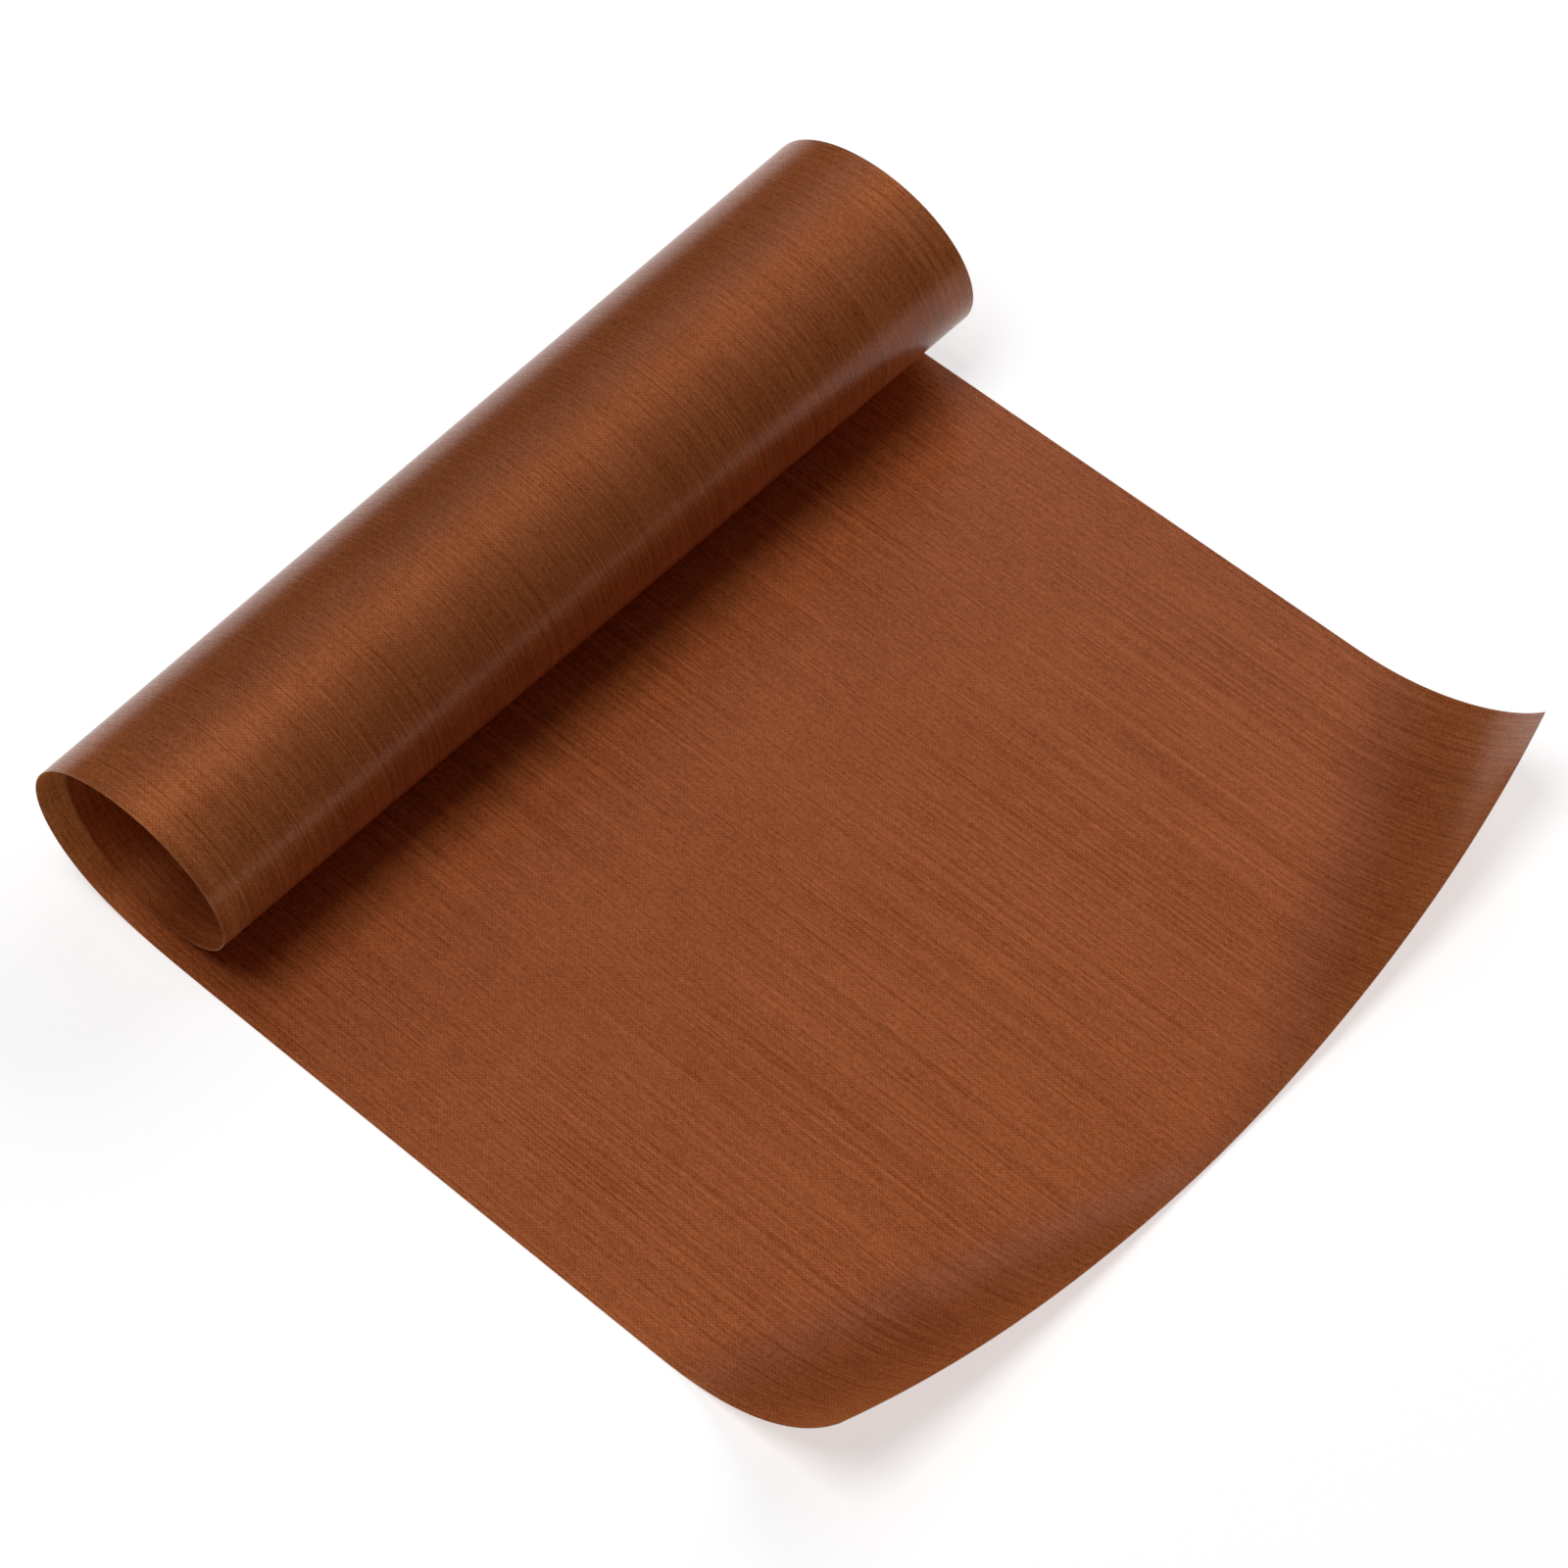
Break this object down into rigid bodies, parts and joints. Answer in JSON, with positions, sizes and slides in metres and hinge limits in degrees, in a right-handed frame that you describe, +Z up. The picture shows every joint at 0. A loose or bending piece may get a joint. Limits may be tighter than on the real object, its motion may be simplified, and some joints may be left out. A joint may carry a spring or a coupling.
{
  "type": "oven liner",
  "caption": "Reusable non-stick oven liner: a thin sheet of woven glass cloth coated on both faces, lying flat with its back end rolled up and its free corners curling.",
  "frame": {"origin": "on the surface that the sheet lies on, below the middle of the part's outline", "axes": "+X from the roll to the free edge, +Y across the sheet towards the wider end of the roll, +Z up"},
  "size_m": [0.334, 0.3416, 0.0703],
  "materials": {
    "ptfe_coat": "satin brown PTFE that follows the fine plain weave under it",
    "glass_cloth": "woven glass fibre, bare only at the cut edges"
  },
  "bodies": {
    "root": {"lower_coat": "ptfe_coat", "glass_cloth": "glass_cloth", "upper_coat": "ptfe_coat"}
  },
  "joints": []
}
